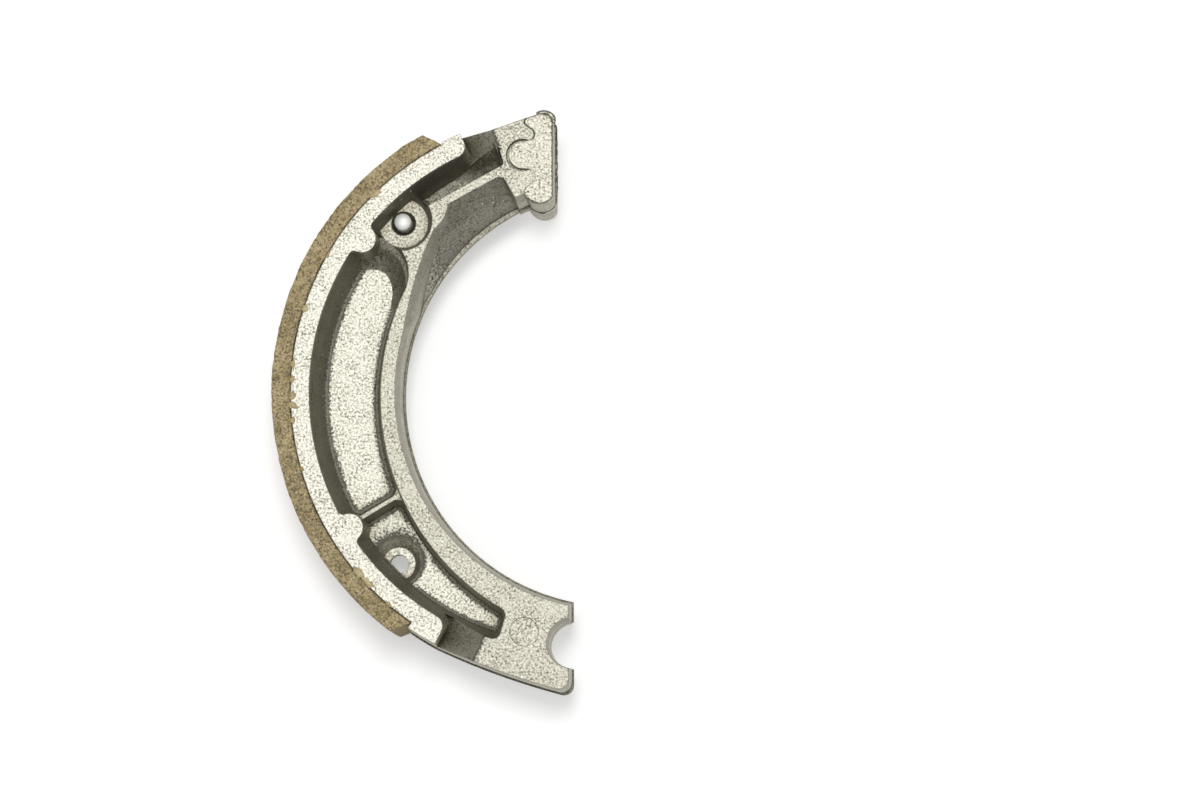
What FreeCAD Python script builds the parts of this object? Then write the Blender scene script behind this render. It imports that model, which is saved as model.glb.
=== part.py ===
import FreeCAD, Part
import math
import os
from FreeCAD import Vector

# All lengths are millimetres and all angles degrees.
# The shoe lies flat and Z = 0 is its mid-plane. Each half is built from the mid-plane up, then mirrored.
# Plan positions are written from the drum axis, with angles anticlockwise from +X.
# +Y points towards the cam end.
# An inset is a distance inwards from the lining seat.

# Overall sizes
drum_radius = 65.0
lining_thickness = 4.3
shoe_width = 28.0
rim_rise = 2.0
web_thickness = 7.0
anchor_to_drum_axis = 54.6

# Rim
rim_thickness = 3.95
rim_wall_draft = 12.8
rim_start_angle = 113.0
rim_end_angle = 241.7
rim_corner_radius = 2.4
rim_shoulder = 0.6
anchor_shoulder = 1.5

# Lining
lining_start_angle = 117.2
lining_end_angle = 235.5
lining_side_step = 0.2
lining_end_bevel = 2.8

# Inner rib, between two arcs about their own centres
rib_inner_shift = 9.2
rib_inner_inset = 13.2
rib_outer_shift = 12.3
rib_outer_drop = 0.9
rib_outer_inset = 7.0
inner_wall_draft = 5.0
end_wall_draft = 1.5

# Land left along the joint of the two mould halves
land_thickness = 1.2
land_height = 0.4

# Cam end
cam_face_x = -3.8
cam_top_inset = 0.1
cam_peak_inset = -0.75
cam_peak_angle = 96.2
cam_neck_inset = 0.7
cam_neck_angle = 106.6

# Anchor end
anchor_face_x = -0.75
anchor_lower_inset = -4.4
anchor_edge_inset = -1.7
anchor_edge_angle = 254.4
anchor_corner_radius = 2.2
seat_radius = 5.1
seat_length = 8.0
seat_mouth_step = 0.4

# Ramps between the rim ends and the two end faces
ramp_slope = 35.0
ramp_edge_radius = 2.0
cam_ramp_angle = 106.0
anchor_ramp_angle = 250.6
ramp_inner_inset = 5.6

# Pockets
pocket_draft = 6.0
main_pocket_shoulder = 9.0
pocket_floor_fillet = 2.0
floor_fillet_share = 0.42
corner_to_fillet = 1.12
cam_pocket_start = 106.2
cam_pocket_end = 128.5
cam_rib_width = 1.8
main_pocket_start = 139.5
main_pocket_end = 253.6
divider_angle = 210.6
divider_width = 0.9
divider_height = 9.5

# Relief facet beside the cam end
facet_block_angle = 105.9
facet_corner_radius = 1.6
facet_start_inset = 10.8
facet_start_angle = 107.4
facet_turn_inset = 11.6
facet_turn_angle = 122.9
facet_bend_inset = 14.2
facet_bend_angle = 129.9
facet_middle_inset = 19.0
facet_middle_angle = 144.9
facet_tail_inset = 22.5
facet_tail_angle = 165.0
facet_turn_bulge = 0.65
facet_wall_draft = 10.0
facet_ledge = 0.5
facet_foot_angle = 144.0
facet_far_angle = 168.0

# Pin and its boss
pin_inset = 8.1
pin_angle = 134.3
pin_radius = 1.85
pin_reach = 10.6
pin_dome_height = 0.5
boss_radius = 5.4
boss_height = 7.6
boss_draft = 15.0
boss_root = 2.0
boss_mouth_margin = 0.85
boss_mouth_depth = 1.6

# Hook hole
hook_inset = 7.85
hook_angle = 223.8
hook_hole_radius = 2.0
hook_flat_offset = 1.2
hook_land_radius = 3.6
hook_land_thickness = 2.4
hook_funnel_radius = 7.0
hook_funnel_shift = Vector(-0.6, 1.1, 0.0)
hook_funnel_steps = (0.3, 0.6, 1.0)
hook_funnel_lip = 1.8
hook_funnel_lip_rise = 0.4

# Lugs on the rim
lug_radius = 3.0
lug_reach = 3.45
lug_draft = 4.0
lug_root_radius = 1.3
lug_foot_depth = 0.5
cam_lug_angle = 143.6
anchor_lug_angle = 211.6

# Insert at the cam end, its outline written from the centre of its knob
knob_inset = 7.8
knob_angle = 101.4
knob_radius = 2.95
knob_groove_width = 0.6
knob_groove_depth = 1.4
insert_corner_radius = 1.6
insert_lobe_depth = 1.6
insert_edge_radius = 0.4

# Round ejector mark on the anchor end
ejector_inset = 7.6
ejector_angle = 258.8
ejector_radius = 3.1
ejector_depth = 0.12

# Values that follow from the ones above
half_width = shoe_width / 2
half_end = half_width - rim_rise
half_web = web_thickness / 2
half_land = land_thickness / 2
half_hook_land = hook_land_thickness / 2
seat_face_radius = drum_radius - lining_thickness
rim_inner_radius = seat_face_radius - rim_thickness
rib_inner_radius = seat_face_radius - rib_inner_inset
rib_outer_radius = seat_face_radius - rib_outer_inset
rib_inner_centre = Vector(rib_inner_shift, 0, 0)
rib_outer_centre = Vector(rib_outer_shift, -rib_outer_drop, 0)
edge_reach = 0.3 * rim_thickness
edge_height_error = 0.01
clear = 3.0
far = 2 * drum_radius
pocket_top = half_width + clear
pocket_middle = (half_web + pocket_top) / 2
up = Vector(0, 0, 1)
drum_axis = Vector(0, 0, 0)
anchor_axis = Vector(0, -anchor_to_drum_axis, 0)


def tan(angle):
    return math.tan(math.radians(angle))


def polar(radius, angle, height=0.0):
    turn = math.radians(angle)
    return Vector(radius * math.cos(turn), radius * math.sin(turn), height)


def from_seat(inset, angle):
    """Point at an inset from the lining seat, at an angle about the drum axis."""
    return polar(seat_face_radius - inset, angle)


divider_lean = (half_end - divider_height) * tan(pocket_draft)
divider_half_angle = math.degrees((divider_width / 2 - divider_lean) / rib_outer_radius)
pin_centre = from_seat(pin_inset, pin_angle)
hook_centre = from_seat(hook_inset, hook_angle)
knob_centre = from_seat(knob_inset, knob_angle)
ejector_centre = from_seat(ejector_inset, ejector_angle)
cam_top_y = seat_face_radius - cam_top_inset
anchor_lower_y = anchor_lower_inset - seat_face_radius


def line(start, end):
    return Part.LineSegment(start, end).toShape()


def arc(start, middle, end):
    return Part.Arc(start, middle, end).toShape()


def raised(point, height):
    return Vector(point.x, point.y, height)


def prism(outline, bottom, top):
    face = Part.Face(outline)
    face.translate(Vector(0, 0, bottom))
    return face.extrude(Vector(0, 0, top - bottom))


def drafted_prism(outline, level, bottom, top, draft):
    """Solid whose section is the outline at one level and widens downwards by the draft."""
    ends = []
    for height in (bottom, top):
        section = outline.makeOffset2D((level - height) * tan(draft), 2)
        section.translate(Vector(0, 0, height))
        ends.append(section)
    return Part.makeLoft(ends, True, True)


def cone(centre, radius, level, bottom, top, draft):
    """Solid cone that has the radius at one level and widens downwards by the draft."""
    lower = radius + (level - bottom) * tan(draft)
    upper = radius + (level - top) * tan(draft)
    return Part.makeCone(lower, upper, top - bottom, raised(centre, bottom), up)


def upright_edges(shape, place):
    """Edges of a solid that run from bottom to top close to a point in plan."""
    chosen = []
    for edge in shape.Edges:
        middle = edge.CenterOfMass
        run = edge.BoundBox
        steep = run.ZLength > max(run.XLength, run.YLength)
        if steep and raised(middle, 0).distanceToPoint(raised(place, 0)) < edge_reach:
            chosen.append(edge)
    return chosen


def edges_at_height(shape, height):
    level = [edge for edge in shape.Edges if edge.BoundBox.ZLength < edge_height_error]
    return [edge for edge in level if abs(edge.CenterOfMass.z - height) < edge_height_error]


def corner_arc(before, corner, after, radius):
    """Start, middle and end of the arc that rounds the corner between two straight lines."""
    to_before = (before - corner).normalize()
    to_after = (after - corner).normalize()
    half = to_before.getAngle(to_after) / 2
    reach = radius / math.tan(half)
    gap = radius / math.sin(half) - radius
    middle = corner + (to_before + to_after).normalize() * gap
    return corner + to_before * reach, middle, corner + to_after * reach


def rounded_at(shape, place, radius):
    return shape.makeFillet(radius, upright_edges(shape, place))


def mirrored_pair(half):
    """Both halves of a piece that is the same on each side of its mid-plane."""
    other = half.mirror(Vector(0, 0, 0), up)
    return half.fuse(other).removeSplitter()


def rim_edge():
    """Start, middle and end of the rim's outer edge."""
    start = from_seat(-rim_shoulder, rim_start_angle)
    middle = from_seat(-(rim_shoulder + anchor_shoulder) / 2, (rim_start_angle + rim_end_angle) / 2)
    return start, middle, from_seat(-anchor_shoulder, rim_end_angle)


def casting_outline():
    """Plan outline of the casting, with its open side towards the drum axis closed by straight lines."""
    cam_top = Vector(cam_face_x, cam_top_y, 0)
    cam_peak = from_seat(cam_peak_inset, cam_peak_angle)
    cam_neck = from_seat(cam_neck_inset, cam_neck_angle)
    rim = rim_edge()
    lower_middle = from_seat(anchor_edge_inset, anchor_edge_angle)
    lower_corner = Vector(anchor_face_x, anchor_lower_y, 0)
    anchor_top = Vector(anchor_face_x, -rib_inner_radius / 2, 0)
    cam_foot = Vector(cam_face_x, rib_inner_radius / 2, 0)
    return Part.Wire([
        line(cam_top, cam_peak),
        line(cam_peak, cam_neck),
        line(cam_neck, rim[0]),
        arc(*rim),
        arc(rim[2], lower_middle, lower_corner),
        line(lower_corner, anchor_top),
        line(anchor_top, cam_foot),
        line(cam_foot, cam_top),
    ])


def anchor_corner(spread):
    """Lower corner of the anchor end's face, on an outline that is larger all round by the spread."""
    return Vector(anchor_face_x + spread, anchor_lower_y - spread, 0)


def blank():
    """Plate of the two ends and the ribs, inside the outline and outside the inner arc."""
    body = drafted_prism(casting_outline(), half_end, 0, half_end, end_wall_draft)
    body = rounded_at(body, anchor_corner(half_end / 2 * tan(end_wall_draft)), anchor_corner_radius)
    bore = cone(rib_inner_centre, rib_inner_radius, half_end, -clear, half_end + clear, -inner_wall_draft)
    return body.cut(bore)


def parting_land():
    """Thin ledge all round at the mid-plane."""
    spread = half_end * tan(end_wall_draft) + land_height
    plate = prism(casting_outline().makeOffset2D(spread, 2), 0, half_land)
    plate = rounded_at(plate, anchor_corner(spread), anchor_corner_radius)
    bore_radius = rib_inner_radius - half_end * tan(inner_wall_draft) - land_height
    bore = Part.makeCylinder(bore_radius, half_width, rib_inner_centre, up)
    return plate.cut(bore)


def rim_bore(bottom, top):
    """Space inside the rim's tapered inner wall."""
    return cone(drum_axis, rim_inner_radius, half_width, bottom, top, -rim_wall_draft)


def wedge(angles, level, bottom, top, draft):
    """Sector of space about the drum axis whose two end walls lean in towards the bottom."""
    points = [drum_axis] + [polar(far, angle) for angle in angles] + [drum_axis]
    return drafted_prism(Part.makePolygon(points), level, bottom, top, -draft)


def rim_wall_radius(height):
    """Distance from the drum axis to the rim's inner wall at a height."""
    return rim_inner_radius - (half_width - height) * tan(rim_wall_draft)


def rib_outer_point(angle, height):
    """Point on the pocket side of the inner rib, whose wall leans out towards the floor."""
    wall_radius = rib_outer_radius + (half_end - height) * tan(pocket_draft)
    return polar(radius_on_circle(rib_outer_centre, wall_radius, angle), angle)


def rib_inner_point(angle, step):
    return polar(radius_on_circle(rib_inner_centre, rib_inner_radius + step, angle), angle)


def radius_on_circle(centre, radius, angle):
    """Distance from the drum axis, along a ray, to a circle about another centre."""
    ray = polar(1, angle)
    along = centre.dot(ray)
    return along + math.sqrt(radius ** 2 - centre.dot(centre) + along ** 2)


def rounded_pocket(pocket, places, narrowest):
    """Round a pocket's upright corners and its floor's edge, by no more than its narrowest floor allows."""
    fillet = min(pocket_floor_fillet, floor_fillet_share * narrowest)
    upright = [edge for place in places for edge in upright_edges(pocket, place)]
    pocket = pocket.makeFillet(fillet * corner_to_fillet, upright)
    return pocket.makeFillet(fillet, edges_at_height(pocket, half_web))


def line_at_angle(start, end, angle):
    """Point where the line through two points meets a ray from the drum axis."""
    along = end - start
    ray = polar(1, angle)
    share = (start.x * ray.y - start.y * ray.x) / (along.y * ray.x - along.x * ray.y)
    return start + along * share


def cam_pocket():
    """Pocket between the cam end and the pin boss, with a straight inner wall beside the relief."""
    start = from_seat(facet_start_inset, facet_start_angle)
    turn = from_seat(facet_turn_inset, facet_turn_angle)
    along = (turn - start).normalize()
    outwards = Vector(along.y, -along.x, 0)
    start = start + outwards * cam_rib_width
    turn = turn + outwards * cam_rib_width
    inner_start = line_at_angle(start, turn, cam_pocket_start)
    inner_end = line_at_angle(start, turn, cam_pocket_end)
    outer_start = polar(far, cam_pocket_start)
    outer_end = polar(far, cam_pocket_end)
    outline = Part.makePolygon([inner_start, outer_start, outer_end, inner_end, inner_start])
    space = drafted_prism(outline, half_end, half_web, pocket_top, -pocket_draft)
    pocket = space.common(rim_bore(half_web, pocket_top))
    outer = rim_wall_radius(pocket_middle)
    corners = [inner_start, inner_end, polar(outer, cam_pocket_start), polar(outer, cam_pocket_end)]
    inner_foot = inner_start.Length + (half_end - half_web) * tan(pocket_draft)
    return rounded_pocket(pocket, corners, rim_wall_radius(half_web) - inner_foot)


def between_rim_and_rib(start, end, bottom):
    """Space between the rim and the inner rib, from one angle to another and from a height up."""
    space = wedge((start, (start + end) / 2, end), half_end, bottom, pocket_top, pocket_draft)
    rib = cone(rib_outer_centre, rib_outer_radius, half_end, bottom, pocket_top, pocket_draft)
    return space.common(rim_bore(bottom, pocket_top)).cut(rib)


def pocket_corners(angle):
    """Middles of a pocket's two upright corners at one of its ends."""
    return [rib_outer_point(angle, pocket_middle), polar(rim_wall_radius(pocket_middle), angle)]


def narrowest_floor(start, end):
    rim_foot = rim_wall_radius(half_web)
    return min(rim_foot - rib_outer_point(angle, half_web).Length for angle in (start, end))


def upper_main_pocket():
    """Pocket from the pin boss to the thin rib across, with a long round shoulder beside the boss."""
    end = divider_angle - divider_half_angle
    pocket = between_rim_and_rib(main_pocket_start, end, half_web)
    shoulder, rim_corner = pocket_corners(main_pocket_start)
    pocket = rounded_at(pocket, shoulder, main_pocket_shoulder)
    return rounded_pocket(pocket, [rim_corner] + pocket_corners(end), narrowest_floor(main_pocket_start, end))


def lower_main_pocket():
    """Pocket from the thin rib across to the anchor end."""
    start = divider_angle + divider_half_angle
    pocket = between_rim_and_rib(start, main_pocket_end, half_web)
    corners = pocket_corners(start) + pocket_corners(main_pocket_end)
    return rounded_pocket(pocket, corners, narrowest_floor(start, main_pocket_end))


def above_divider():
    reach = divider_half_angle + math.degrees(clear / rib_outer_radius)
    return between_rim_and_rib(divider_angle - reach, divider_angle + reach, divider_height)


def boss_recess():
    """Round step-down in the rib top around the pin boss."""
    return cone(pin_centre, boss_radius, boss_height, boss_height, half_width + clear, -boss_draft)


def boss():
    """Tapered boss that flares into the pocket floors with a round foot."""
    foot = boss_radius + (boss_height - half_web) * tan(boss_draft)
    flank_top = Vector(boss_radius, 0, boss_height)
    flank_foot = Vector(foot, 0, half_web)
    floor_end = Vector(foot + far, 0, half_web)
    flare = corner_arc(flank_top, flank_foot, floor_end, boss_root)
    below = Vector(flare[2].x, 0, 0)
    profile = Part.Wire([
        line(Vector(0, 0, 0), Vector(0, 0, boss_height)),
        line(Vector(0, 0, boss_height), flank_top),
        line(flank_top, flare[0]),
        arc(*flare),
        line(flare[2], below),
        line(below, Vector(0, 0, 0)),
    ])
    turned = Part.Face(profile).revolve(Vector(0, 0, 0), up, 360)
    turned.translate(pin_centre)
    return turned


def beside_facet_wall():
    """Space inside the rib's top edge, down a steep wall that runs out into the inner arc."""
    start = from_seat(facet_start_inset, facet_start_angle)
    turn = from_seat(facet_turn_inset, facet_turn_angle)
    bend = from_seat(facet_bend_inset, facet_bend_angle)
    middle = from_seat(facet_middle_inset, facet_middle_angle)
    tail = from_seat(facet_tail_inset, facet_tail_angle)
    turn_middle = (turn + bend) * 0.5 + (turn - bend).cross(up).normalize() * facet_turn_bulge
    before_start = start + (start - turn)
    outline = Part.Wire([
        line(before_start, turn),
        arc(turn, turn_middle, bend),
        arc(bend, middle, tail),
        line(tail, rib_inner_centre),
        line(rib_inner_centre, before_start),
    ])
    return drafted_prism(outline, half_end, half_land, half_end + clear, -facet_wall_draft)


def above_facet_slope():
    """Space above the slope from the straight rib beside the cam pocket down to a narrow ledge."""
    block = rib_inner_point(facet_block_angle, 0)
    start = from_seat(facet_start_inset, facet_start_angle)
    turn = from_seat(facet_turn_inset, facet_turn_angle)
    over_foot = line_at_angle(start, turn, facet_foot_angle)
    over_far = line_at_angle(start, turn, facet_far_angle)
    corner = corner_arc(block, start, over_foot, facet_corner_radius)
    top = Part.Wire([
        line(block, corner[0]),
        arc(*corner),
        line(corner[2], over_foot),
        line(over_foot, over_far),
        line(over_far, rib_inner_centre),
        line(rib_inner_centre, block),
    ])
    wall_step = (half_end - half_land) * tan(inner_wall_draft)
    ledge = facet_ledge - wall_step
    foot_block = rib_inner_point(facet_block_angle, ledge)
    foot_corner = rib_inner_point((facet_block_angle + facet_start_angle) / 2, ledge)
    foot_start = rib_inner_point(facet_start_angle, ledge)
    foot_end = rib_inner_point(facet_foot_angle, -wall_step)
    foot_far = rib_inner_point(facet_far_angle, -facet_ledge - wall_step)
    bottom = Part.Wire([
        line(foot_block, foot_corner),
        line(foot_corner, foot_start),
        arc(foot_start, rib_inner_point((facet_start_angle + facet_foot_angle) / 2, ledge), foot_end),
        arc(foot_end, rib_inner_point((facet_foot_angle + facet_far_angle) / 2, -facet_ledge), foot_far),
        line(foot_far, rib_inner_centre),
        line(rib_inner_centre, foot_block),
    ])
    above = prism(top, half_end, half_end + clear)
    top.translate(up * half_end)
    bottom.translate(up * half_land)
    return Part.makeLoft([bottom, top], True, True).fuse(above)


def relief_facet():
    """Relief beside the cam end, a slope that meets a steep wall along one edge."""
    return beside_facet_wall().common(above_facet_slope())


def ramp(top_angle, foot_angle):
    """Slope that runs down from an end face to the foot of the rim's end, with a rounded upper edge."""
    turn = 1 if foot_angle > top_angle else -1
    middle_angle = (top_angle + foot_angle) / 2
    run = seat_face_radius * math.radians(abs(foot_angle - top_angle)) + clear / 2
    half_turn = ramp_slope / 2
    tangent = ramp_edge_radius * tan(half_turn)
    inner = seat_face_radius - ramp_inner_inset
    level = polar(inner, top_angle, half_end)
    out = polar(1, middle_angle)
    along = Vector(-out.y, out.x, 0) * turn
    drop = up * -tan(ramp_slope)
    crest_start = level - along * tangent
    crest_end = level + (along + drop).normalize() * tangent
    lean = math.radians(half_turn)
    inwards = (along * math.sin(lean) + up * math.cos(lean)) * -1
    crest_top = level + inwards * ramp_edge_radius * (1 / math.cos(lean) - 1)
    foot = level + (along + drop) * run
    lid_foot = foot + up * (half_width + clear)
    lid_start = crest_start + up * (half_width + clear)
    outline = Part.Wire([
        arc(crest_start, crest_top, crest_end),
        line(crest_end, foot),
        line(foot, lid_foot),
        line(lid_foot, lid_start),
        line(lid_start, crest_start),
    ])
    return Part.Face(outline).extrude(out * (seat_face_radius - inner + 2 * clear))


def rim_ring():
    """Table of the rim, standing above the ribs, with rounded inner corners at its ends."""
    angles = (rim_start_angle, (rim_start_angle + rim_end_angle) / 2, rim_end_angle)
    space = wedge(angles, half_end, -clear, half_width, 0)
    edge = arc(*rim_edge()).Curve
    disc = cone(edge.Center, edge.Radius, half_end, 0, half_width, end_wall_draft)
    ring = disc.common(space).cut(rim_bore(-clear, pocket_top))
    for angle in (rim_start_angle, rim_end_angle):
        ring = rounded_at(ring, polar(rim_inner_radius - rim_thickness / 2, angle), rim_corner_radius)
    return ring


def lug_side(angle, turn):
    """One side of a lug's outline, from inside the rim along its concave root to its round end."""
    centre_radius = rim_inner_radius - lug_reach + lug_radius
    root_centre_radius = rim_inner_radius - lug_root_radius
    apart = lug_radius + lug_root_radius
    squares = centre_radius ** 2 + root_centre_radius ** 2 - apart ** 2
    spread = math.acos(squares / (2 * centre_radius * root_centre_radius))
    side_angle = angle + turn * math.degrees(spread)
    root_centre = polar(root_centre_radius, side_angle)
    to_lug = (polar(centre_radius, angle) - root_centre).normalize()
    to_rim = polar(1, side_angle)
    rim_point = polar(rim_inner_radius, side_angle)
    rim_run = rim_point + polar(lug_root_radius, side_angle + turn * 90)
    middle = root_centre + (to_lug + to_rim).normalize() * lug_root_radius
    round_start = root_centre + to_lug * lug_root_radius
    return [rim_run + to_rim * lug_root_radius, rim_run, rim_point, middle, round_start]


def lug(angle):
    """Round-ended lug on the inside of the rim, as high as the rim."""
    tip = polar(rim_inner_radius - lug_reach, angle)
    first = lug_side(angle, -1)
    second = lug_side(angle, 1)
    outline = Part.Wire([
        line(first[0], first[1]),
        line(first[1], first[2]),
        arc(*first[2:]),
        arc(first[4], tip, second[4]),
        arc(*reversed(second[2:])),
        line(second[2], second[1]),
        line(second[1], second[0]),
        line(second[0], first[0]),
    ])
    return drafted_prism(outline, half_width, half_web - lug_foot_depth, half_width, lug_draft)


def lining_seat():
    """Turned seat for the lining, cut into the outside of the rim."""
    inner = arc(
        polar(seat_face_radius, lining_start_angle),
        polar(seat_face_radius, (lining_start_angle + lining_end_angle) / 2),
        polar(seat_face_radius, lining_end_angle),
    )
    outer = arc(
        polar(drum_radius + clear, lining_end_angle),
        polar(drum_radius + clear, (lining_start_angle + lining_end_angle) / 2),
        polar(drum_radius + clear, lining_start_angle),
    )
    outline = Part.Wire([
        inner,
        line(polar(seat_face_radius, lining_end_angle), polar(drum_radius + clear, lining_end_angle)),
        outer,
        line(polar(drum_radius + clear, lining_start_angle), polar(seat_face_radius, lining_start_angle)),
    ])
    return prism(outline, -clear, half_width + clear)


def beyond_hook_flat():
    """Space on the rim's side of the flat of the hook hole."""
    reach = polar(1, hook_angle)
    side = Vector(-reach.y, reach.x, 0) * far
    near = hook_centre + reach * hook_flat_offset
    beyond = near + reach * far
    outline = Part.makePolygon([near - side, near + side, beyond + side, beyond - side, near - side])
    return prism(outline, -clear, half_width)


def hook_funnel():
    """Bell-shaped hollow round the hook hole, steep at the thin land and shallow at the pocket floor."""
    depth = half_web - half_hook_land
    widening = hook_funnel_radius - hook_land_radius
    sections = [(hook_land_radius, raised(hook_centre, half_hook_land))]
    for share in hook_funnel_steps:
        centre = hook_centre + hook_funnel_shift * share
        radius = hook_land_radius + widening * share
        sections.append((radius, raised(centre, half_hook_land + depth * (2 - share) * share)))
    top_centre = raised(hook_centre + hook_funnel_shift, half_web + hook_funnel_lip_rise)
    sections.append((hook_funnel_radius + hook_funnel_lip, top_centre))
    circles = [Part.Wire(Part.makeCircle(radius, centre, up)) for radius, centre in sections]
    return Part.makeLoft(circles, True, False).cut(beyond_hook_flat())


def hook_hole():
    """D-shaped hole for a spring hook, flat on its side towards the rim."""
    hole = Part.makeCylinder(hook_hole_radius, half_web, raised(hook_centre, -clear / 2), up)
    return hole.cut(beyond_hook_flat())


def anchor_notch():
    """Part-round seat for the anchor pin, plain in the middle and opening towards the face."""
    plain = Part.makeCylinder(seat_radius, half_width, raised(anchor_axis, -clear), up)
    half_seat = seat_length / 2
    rise = half_end - half_seat
    mouth_radius = seat_radius + seat_mouth_step
    mouth = Part.makeCone(seat_radius, mouth_radius, rise, raised(anchor_axis, half_seat), up)
    return plain.fuse(mouth)


def pin_hole():
    """Bore for the pin with a flared mouth in the top of its boss."""
    bore = Part.makeCylinder(pin_radius, half_width, raised(pin_centre, -clear), up)
    floor = raised(pin_centre, boss_height - boss_mouth_depth)
    mouth = Part.makeCone(pin_radius, pin_radius + boss_mouth_margin, boss_mouth_depth, floor, up)
    return bore.fuse(mouth)


def insert_joint():
    """Edges of the insert where it meets the casting, from the outer side to the inner side."""
    offsets = [(1.1, 8.35), (0.35, 7.3), (0.7, 6.6), (1.9, 5.7), (2.5, 4.6), (1.9, 3.4), (0.0, knob_radius),
               (-knob_radius, 0.0), (0.0, -knob_radius), (1.8, -3.1), (2.8, -4.5), (2.2, -6.1), (0.6, -7.4),
               (0.4, -8.3), (0.9, -9.2)]
    points = [knob_centre + Vector(x, y, 0) for x, y in offsets]
    return points, [
        arc(points[0], points[1], points[2]),
        line(points[2], points[3]),
        arc(points[3], points[4], points[5]),
        line(points[5], points[6]),
        arc(points[6], points[7], points[8]),
        line(points[8], points[9]),
        arc(points[9], points[10], points[11]),
        line(points[11], points[12]),
        arc(points[12], points[13], points[14]),
    ]


def insert_outline():
    points, joint = insert_joint()
    lobe_end = Vector(cam_face_x, points[-1].y, 0)
    lobe_middle = Vector((points[-1].x + cam_face_x) / 2, points[-1].y - insert_lobe_depth, 0)
    top_corner = Vector(cam_face_x, cam_top_y, 0)
    peak = from_seat(cam_peak_inset, cam_peak_angle)
    corner = corner_arc(lobe_end, top_corner, peak, insert_corner_radius)
    return Part.Wire(joint + [
        arc(points[-1], lobe_middle, lobe_end),
        line(lobe_end, corner[0]),
        arc(*corner),
        line(corner[2], peak),
        line(peak, points[0]),
    ])


def insert_space():
    """Everything on the drum-axis side of the joint line, where the casting stops."""
    points, joint = insert_joint()
    beyond = 4 * clear
    below = Vector(points[-1].x, points[-1].y - beyond, 0)
    above = Vector(points[0].x, points[0].y + beyond, 0)
    right_below = Vector(beyond, below.y, 0)
    right_above = Vector(beyond, above.y, 0)
    outline = Part.Wire(joint + [
        line(points[-1], below),
        line(below, right_below),
        line(right_below, right_above),
        line(right_above, above),
        line(above, points[0]),
    ])
    return prism(outline, -clear, half_end + clear)


def knob_groove():
    """Shallow open joint round the knob."""
    floor = raised(knob_centre, half_end - knob_groove_depth)
    return Part.makeCylinder(knob_radius + knob_groove_width, knob_groove_depth + clear, floor, up)


def ejector_mark():
    floor = half_end - ejector_depth
    return Part.makeCylinder(ejector_radius, clear, raised(ejector_centre, floor), up)


def shoe_casting():
    half = blank()
    for cutter in (upper_main_pocket(), lower_main_pocket(), above_divider(), cam_pocket()):
        half = half.cut(cutter)
    half = half.cut(boss_recess()).cut(relief_facet())
    half = half.cut(ramp(cam_ramp_angle, rim_start_angle))
    half = half.cut(ramp(anchor_ramp_angle, rim_end_angle))
    lugs = lug(cam_lug_angle).fuse(lug(anchor_lug_angle))
    for addition in (boss(), rim_ring(), lugs, parting_land()):
        half = half.fuse(addition)
    for cutter in (lining_seat(), hook_funnel(), hook_hole(), pin_hole(), anchor_notch()):
        half = half.cut(cutter)
    for cutter in (insert_space(), knob_groove(), ejector_mark()):
        half = half.cut(cutter)
    return mirrored_pair(half)


def outer_edges(half):
    """Top edges of the insert's half along its own outside, away from the joint."""
    points, joint = insert_joint()
    joint = Part.Wire(joint)
    joint.translate(up * half_end)
    chosen = []
    for edge in edges_at_height(half, half_end):
        middle = edge.valueAt((edge.FirstParameter + edge.LastParameter) / 2)
        if Part.Vertex(middle).distToShape(joint)[0] > insert_edge_radius:
            chosen.append(edge)
    return chosen


def cam_end_insert():
    half = prism(insert_outline(), 0, half_end)
    return mirrored_pair(half.makeFillet(insert_edge_radius, outer_edges(half)))


def spring_pin():
    """Straight pin through the boss, domed at both ends."""
    dome_radius = (pin_radius ** 2 + pin_dome_height ** 2) / (2 * pin_dome_height)
    rod = Part.makeCylinder(pin_radius, pin_reach, pin_centre, up)
    ball = Part.makeSphere(dome_radius, raised(pin_centre, pin_reach - dome_radius))
    shank = Part.makeCylinder(pin_radius, pin_reach - pin_dome_height, pin_centre, up)
    return mirrored_pair(shank.fuse(rod.common(ball)).removeSplitter())


def friction_lining():
    half_lining = half_width - lining_side_step
    bevel = math.degrees(lining_end_bevel / drum_radius)
    middle = (lining_start_angle + lining_end_angle) / 2
    seat_start = polar(seat_face_radius, lining_start_angle)
    seat_end = polar(seat_face_radius, lining_end_angle)
    face_start = polar(drum_radius, lining_start_angle + bevel)
    face_end = polar(drum_radius, lining_end_angle - bevel)
    outline = Part.Wire([
        arc(seat_start, polar(seat_face_radius, middle), seat_end),
        line(seat_end, face_end),
        arc(face_end, polar(drum_radius, middle), face_start),
        line(face_start, seat_start),
    ])
    return prism(outline, -half_lining, half_lining)


def export(name, shape):
    shape = shape.copy()
    shape.translate(anchor_axis * -1)
    shape.exportStep("parts/" + name + ".step")
    print(name, "valid", shape.isValid(), "solids", len(shape.Solids), "volume", round(shape.Volume, 1))


os.makedirs("parts", exist_ok=True)
export("shoe_casting", shoe_casting())
export("friction_lining", friction_lining())
export("cam_end_insert", cam_end_insert())
export("spring_pin", spring_pin())
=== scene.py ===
import bmesh
import bpy
import math
import numpy as np
from mathutils import Matrix, Vector


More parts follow.
